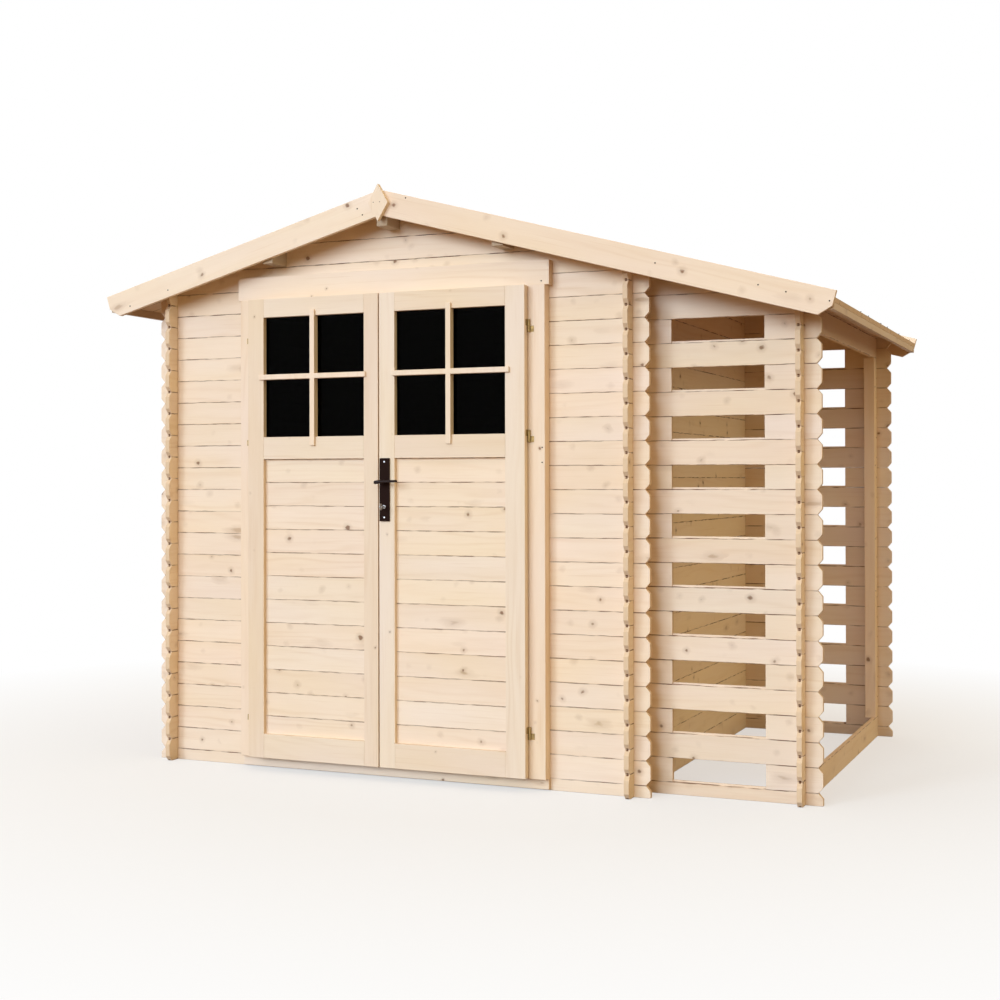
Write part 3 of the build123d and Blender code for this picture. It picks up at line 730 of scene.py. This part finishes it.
def nails():
    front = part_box("front_right_bargeboard")[0].y
    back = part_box("back_right_bargeboard")[1].y
    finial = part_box("front_finial")[0].y
    finial_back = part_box("back_finial")[1].y
    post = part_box("right_door_post")[0].y
    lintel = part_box("door_lintel")[0].y
    nail_heads("front_barge_nails", [(x, front, z) for x, z in BARGE_NAILS], TO_FRONT)
    nail_heads("back_barge_nails", [(x, back, z) for x, z in BARGE_NAILS], TO_BACK)
    nail_heads("front_finial_nails", [(x, finial, z) for x, z in FINIAL_NAILS], TO_FRONT, FINIAL_NAIL_RADIUS)
    nail_heads("back_finial_nails", [(x, finial_back, z) for x, z in FINIAL_NAILS], TO_BACK,
               FINIAL_NAIL_RADIUS)
    nail_heads("door_frame_nails", [(x, post, z) for x, z in POST_NAILS], TO_FRONT)
    nail_heads("lintel_nails", [(x, lintel, z) for x, z in LINTEL_NAILS], TO_FRONT)
    low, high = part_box("log_store_jambs")
    rows = (low.y + JAMB_NAIL_INSET, high.y - JAMB_NAIL_INSET)
    nail_heads("jamb_nails", [(high.x, y, z) for z in JAMB_NAILS for y in rows], TO_RIGHT)


def roof_nails():
    """A row of nails at the ridge, over each side purlin and at the eaves, two through every roof board."""
    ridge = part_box("left_roof_boards")[1]
    peak_x = (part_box("ridge_purlin")[0].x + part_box("ridge_purlin")[1].x) / 2
    fall = math.tan(ROOF_SLOPE)
    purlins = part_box("side_purlins")
    for side in ("left", "right"):
        low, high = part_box(f"{side}_roof_boards")
        sign = -1 if side == "left" else 1
        edge = low.x if side == "left" else high.x
        purlin = purlins[0].x + HALF_PURLIN if side == "left" else purlins[1].x - HALF_PURLIN
        pitch = (high.y - low.y) / ROOF_BOARDS
        normal = (sign * math.sin(ROOF_SLOPE), 0.0, math.cos(ROOF_SLOPE))
        places = []
        for x in (peak_x + sign * RIDGE_ROW, purlin, edge - sign * EAVE_ROW):
            z = ridge.z - abs(x - peak_x) * fall
            for board in range(ROOF_BOARDS):
                for share in NAIL_SHARES:
                    chance = random.Random(f"{side}{x:.2f}{board}{share}")
                    drift = chance.uniform(-NAIL_DRIFT, NAIL_DRIFT) * MM
                    places.append((x + drift, low.y + (board + share) * pitch, z - sign * drift * fall))
        nail_heads(f"{side}_roof_nails", places, normal)
    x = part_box("right_roof_boards")[1].x - EAVE_NAIL_INSET
    z = ridge.z - (x - peak_x) * fall
    mesh = bmesh.new()
    for y in EAVE_NAILS:
        turned(mesh, (x, y, z), EAVE_NAIL_LEAN, in_mm(EAVE_NAIL), NAIL_SIDES)
    add_mesh("proud_eave_nails", mesh, nail_metal, "building", smooth=True)


# Handle set. The spine has the way along the lever, its radius and its rise, in millimetres.

LEVER_SPINE = ((-24, 3.2, -2.6), (-23, 5.4, -2.6), (-20, 6.8, -2.5), (-12, 7.2, -1.8), (-2, 6.8, -0.6),
               (10, 6.2, 0.2), (26, 5.4, 0.9), (44, 4.8, 1.5), (60, 4.5, 1.9), (67, 4.2, 2.0),
               (70, 3.2, 2.0), (71, 1.8, 2.0))
LEVER_SIDES = 20
LEVER_FLATTER = 0.92
LEVER_BACK = 7 * MM
BEND_START = 10
BEND = 0.00132

# Neck, rose, lock and key. Profiles are pairs of radius and distance in millimetres.
NECK_FOOT = ((7.8, 0.0), (7.8, 4.0), (6.6, 8.0))
NECK_TOP = ((6.2, 0.6), (6.6, 0.98))
NECK_SIDES = 20
NECK_SUNK = 0.4 * MM
ROSE = ((14.0, 0.0), (14.0, 1.4), (12.6, 2.4), (8.4, 2.6), (8.4, 0.0))
LOCK = ((7.0, 0.0), (7.0, 3.4), (6.2, 4.0), (4.6, 4.1))
LOCK_SIDES = 24
KEY_BOW = ((12.4, -1.2), (13.0, -0.7), (13.0, 0.7), (12.4, 1.2), (4.2, 1.2), (4.2, -1.2))
ROUND_SIDES = 28
BOW_RADIUS = 13 * MM
SHANK_START = 9 * MM
SHANK_END = 4 * MM
SHANK_HALF_WIDTH = 1.1 * MM
SHANK_HALF_HEIGHT = 3.6 * MM
PLATE_SCREW_INSET = 14 * MM
PLATE_SCREW_RADIUS = 3.6 * MM


def handle_set():
    plate_low, plate_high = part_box("handle_plate")
    lever_low, lever_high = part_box("lever_handle")
    lock_low, lock_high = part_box("lock_and_key")
    face = plate_low.y
    middle = (plate_low.x + plate_high.x) / 2
    lever_z = (lever_low.z + lever_high.z) / 2
    key_z = (lock_low.z + lock_high.z) / 2
    grip_y = lever_low.y + LEVER_BACK
    reach = face - grip_y

    mesh = bmesh.new()
    rings = []
    for along, radius, rise in LEVER_SPINE:
        bend = BEND * (along - BEND_START) * along * MM if along > BEND_START else 0.0
        ring = []
        for step in range(LEVER_SIDES):
            angle = math.tau * step / LEVER_SIDES
            ring.append((middle + along * MM, grip_y + bend + math.cos(angle) * radius * LEVER_FLATTER * MM,
                         lever_z + rise * MM + math.sin(angle) * radius * MM))
        rings.append(ring)
    skin(mesh, rings)
    neck = in_mm(NECK_FOOT) + [(radius * MM, reach * share) for radius, share in NECK_TOP]
    turned(mesh, (middle, face - NECK_SUNK, lever_z), TO_FRONT, neck, NECK_SIDES)
    lever = add_mesh("lever", mesh, black_shine, "lever", smooth=True)
    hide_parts("lever_handle")

    mesh = bmesh.new()
    turned(mesh, (middle, face, lever_z), TO_FRONT, in_mm(ROSE), ROUND_SIDES, closed=True)
    add_mesh("lever_rose", mesh, black, "right_leaf", smooth=True)

    mesh = bmesh.new()
    for z in (plate_high.z - PLATE_SCREW_INSET, plate_low.z + PLATE_SCREW_INSET):
        screw_head(mesh, (middle, face, z), PLATE_SCREW_RADIUS)
    add_mesh("plate_screws", mesh, steel, "right_leaf", smooth=True)

    mesh = bmesh.new()
    turned(mesh, (middle, face, key_z), TO_FRONT, in_mm(LOCK), LOCK_SIDES)
    bow_y = lock_low.y + BOW_RADIUS
    add_box(mesh, (middle - SHANK_HALF_WIDTH, bow_y + SHANK_START, key_z - SHANK_HALF_HEIGHT),
            (middle + SHANK_HALF_WIDTH, face - SHANK_END, key_z + SHANK_HALF_HEIGHT), KEY_EASE)
    turned(mesh, (middle, bow_y, key_z), TO_RIGHT, in_mm(KEY_BOW), ROUND_SIDES, closed=True)
    key = add_mesh("lock_key", mesh, lock_steel, "right_leaf", smooth=True)
    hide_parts("lock_and_key")


make_camera()
dress_walls()
dress_roof()
dress_floor()
dress_door()
leaf_boards()
zinc = metal("yellow_zinc", ZINC, roughness=0.55, patch=0.6)
steel = metal("satin_steel", SATIN_STEEL, roughness=0.28, patch=0.2)
lock_steel = metal("lock_steel", LOCK_STEEL, roughness=0.36, patch=0.4)
nail_metal = black_coat("dark_nails", shine=0.10, roughness=0.6)
black = black_coat("black_lacquer", shine=0.04, roughness=0.6)
black_shine = black_coat("black_lever_lacquer", shine=0.12, roughness=0.30)
dress(zinc, "left_frame_hinges", "right_frame_hinges", "left_leaf_hinges", "right_leaf_hinges")
dress(steel, "lock_and_key")
dress(black, "handle_plate", "lever_handle")
dress(dark_glass("dark_glass"), "left_leaf_glass", "right_leaf_glass")
soften(("handle_plate",), PLATE_EASE, segments=3)
nails()
roof_nails()
handle_set()


# Studio

WHITE = (1.0, 1.0, 1.0)
FRONT_LIGHT = (0.78, 0.74, 0.71)
BACK_LIGHT = (0.78, 0.63, 0.43)
RIGHT_LIGHT = (0.78, 0.55, 0.25)
FRONT_TO_BACK = (-0.6, 0.6)
LEFT_TO_RIGHT = (-0.2, 0.8)
FLOOR_BOUNCE = (0.23, 0.135, 0.065)
FLOOR_SEEN = (0.86, 0.85, 0.83)
FLOOR_RADIUS = 80.0
FLOOR_DROP = 0.5 * MM
FLOOR_FADE = (1.6, 4.0)
FLOOR_GLOW = (0.55, 1.0)
KEY_COLOUR = (0.64, 0.80, 1.0)
SIDE_COLOUR = (0.84, 1.0, 0.74)

# Suns: the way towards each one, its strength, its angle in degrees and its colour
SUNS = {
    "key_straight": ((-0.09, -1.0, 0.22), 1.42, 20.0, KEY_COLOUR),
    "key_left": ((-0.53, -1.0, 0.37), 1.45, 20.0, KEY_COLOUR),
    "side_soft": ((1.0, -0.30, 0.16), 0.36, 35.0, SIDE_COLOUR),
}


def seen_rays(t):
    """1 where the camera sees it, straight, reflected or through glass, and 0 for light on the object."""
    path = t.node("ShaderNodeLightPath").outputs
    bent = t.math("MAXIMUM", path["Is Glossy Ray"], path["Is Transmission Ray"])
    return t.math("MAXIMUM", path["Is Camera Ray"], bent)


def make_floor():
    """A pale floor that keeps the shadow near the object and fades to the white background."""
    mesh = bmesh.new()
    bmesh.ops.create_circle(mesh, cap_ends=True, segments=64, radius=FLOOR_RADIUS)
    data = bpy.data.meshes.new("studio_floor")
    mesh.to_mesh(data)
    mesh.free()
    floor = bpy.data.objects.new("studio_floor", data)
    floor.location.z = -FLOOR_DROP
    bpy.context.scene.collection.objects.link(floor)
    material, t = new_material("studio_floor")
    seen = seen_rays(t)
    diffuse = t.node("ShaderNodeBsdfDiffuse", {"Color": t.mix(seen, FLOOR_BOUNCE, FLOOR_SEEN)})
    glow = t.node("ShaderNodeEmission", {"Color": WHITE, "Strength": 1.0})
    away = t.length(t.node("ShaderNodeTexCoord").outputs["Object"])
    share = t.times(seen, t.span(away, *FLOOR_FADE, *FLOOR_GLOW))
    finish_material(t, t.mix_shaders(share, diffuse, glow))
    data.materials.append(material)


def make_world():
    """A sky that lights the object from all sides, with a white background."""
    world = bpy.data.worlds.new("studio")
    bpy.context.scene.world = world
    world.use_nodes = True
    t = Tree(world.node_tree)
    direction = t.node("ShaderNodeTexCoord").outputs["Generated"]
    axes = t.node("ShaderNodeSeparateXYZ", {"Vector": direction}).outputs
    sky = t.mix(t.span(axes["Y"], *FRONT_TO_BACK), FRONT_LIGHT, BACK_LIGHT)
    sky = t.mix(t.span(axes["X"], *LEFT_TO_RIGHT), sky, RIGHT_LIGHT)
    soft = t.node("ShaderNodeBackground", {"Color": sky, "Strength": 1.0})
    white = t.node("ShaderNodeBackground", {"Color": WHITE, "Strength": 1.0})
    mixed = t.mix_shaders(seen_rays(t), soft, white)
    output = t.node("ShaderNodeOutputWorld")
    t.tree.links.new(mixed.outputs[0], output.inputs["Surface"])


def make_sun(name, towards, strength, angle, colour):
    data = bpy.data.lights.new(name, "SUN")
    data.energy = strength
    data.angle = math.radians(angle)
    data.color = colour
    sun = bpy.data.objects.new(name, data)
    sun.rotation_euler = Vector(towards).to_track_quat("Z", "Y").to_euler()
    bpy.context.scene.collection.objects.link(sun)


make_floor()
make_world()
for sun_name, settings in SUNS.items():
    make_sun(sun_name, *settings)

bpy.context.scene.view_settings.view_transform = "Standard"
